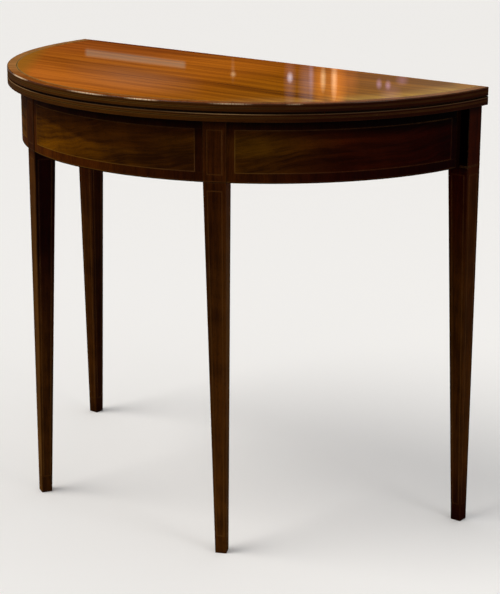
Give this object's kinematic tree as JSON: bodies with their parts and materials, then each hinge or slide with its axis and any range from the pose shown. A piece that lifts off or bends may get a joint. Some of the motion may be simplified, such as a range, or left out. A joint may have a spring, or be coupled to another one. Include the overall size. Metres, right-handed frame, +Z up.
{
  "type": "tea table",
  "caption": "Half-round fold-over tea table: two hinged leaves on a bowed inlaid frieze, square tapered legs, the back pair swinging out as gates to carry the open leaf.",
  "frame": {"origin": "on the floor, under the middle of the bounding box of the closed table", "axes": "+X right along the straight back edge, +Y to the back, where the leaf hinges are, +Z up"},
  "size_m": [0.894, 0.4559, 0.74],
  "materials": {
    "mahogany_leaf": "french polish, glossy",
    "mahogany_dark": "french polish, satin",
    "crossband_wood": "french polish, glossy",
    "boxwood": "french polish",
    "ebonised_wood": "french polish",
    "pine": "bare, aged",
    "oak": "bare, aged",
    "brass": "aged, unlacquered",
    "iron": "dull, aged"
  },
  "bodies": {
    "frame": {"lower_leaf": "mahogany_leaf", "lower_leaf_edge_strings": "boxwood", "lower_leaf_edge_dark_string": "ebonised_wood", "frieze_base_dark_string": "ebonised_wood", "frieze_lower_course": "pine", "frieze_middle_course": "pine", "frieze_upper_course": "pine", "frieze_crossband": "crossband_wood", "frieze_strings": "boxwood", "frieze_field_veneers": "mahogany_dark", "front_leg_right": "mahogany_dark", "front_leg_left": "mahogany_dark", "front_leg_right_strings": "boxwood", "front_leg_left_strings": "boxwood", "knuckle_block": "oak", "back_rail": "pine", "medial_bearer": "pine", "glue_blocks": "pine", "gate_pin_right": "iron", "gate_pin_left": "iron", "knuckle_block_screws": "iron", "pocket_screws": "iron", "bearer_screws": "iron", "lower_hinge_plate_right": "brass", "lower_hinge_plate_left": "brass", "hinge_pin_right": "brass", "hinge_pin_left": "brass", "lower_hinge_screws": "brass"},
    "upper_leaf": {"upper_leaf": "mahogany_leaf", "top_crossband": "crossband_wood", "top_light_strings": "boxwood", "top_dark_string": "ebonised_wood", "upper_leaf_edge_strings": "boxwood", "upper_leaf_edge_dark_string": "ebonised_wood", "upper_hinge_plate_right": "brass", "upper_hinge_plate_left": "brass", "upper_hinge_screws": "brass"},
    "right_gate": {"gate_rail_right": "oak", "gate_leg_right": "mahogany_dark", "gate_leg_right_strings": "boxwood", "gate_leg_right_dark_string": "ebonised_wood"},
    "left_gate": {"gate_rail_left": "oak", "gate_leg_left": "mahogany_dark", "gate_leg_left_strings": "boxwood", "gate_leg_left_dark_string": "ebonised_wood"}
  },
  "joints": [
    {"name": "leaf_fold", "type": "hinge", "parent": "frame", "child": "upper_leaf", "pos_m": [0, 0.22537, 0.72565], "axis": [-1, 0, 0], "range_deg": [0, 180]},
    {"name": "right_gate_swing", "type": "hinge", "parent": "frame", "child": "right_gate", "pos_m": [0.09, 0.20913, 0], "axis": [0, 0, 1], "range_deg": [0, 90]},
    {"name": "left_gate_swing", "type": "hinge", "parent": "frame", "child": "left_gate", "pos_m": [-0.09, 0.20913, 0], "axis": [0, 0, -1], "range_deg": [0, 90]}
  ]
}
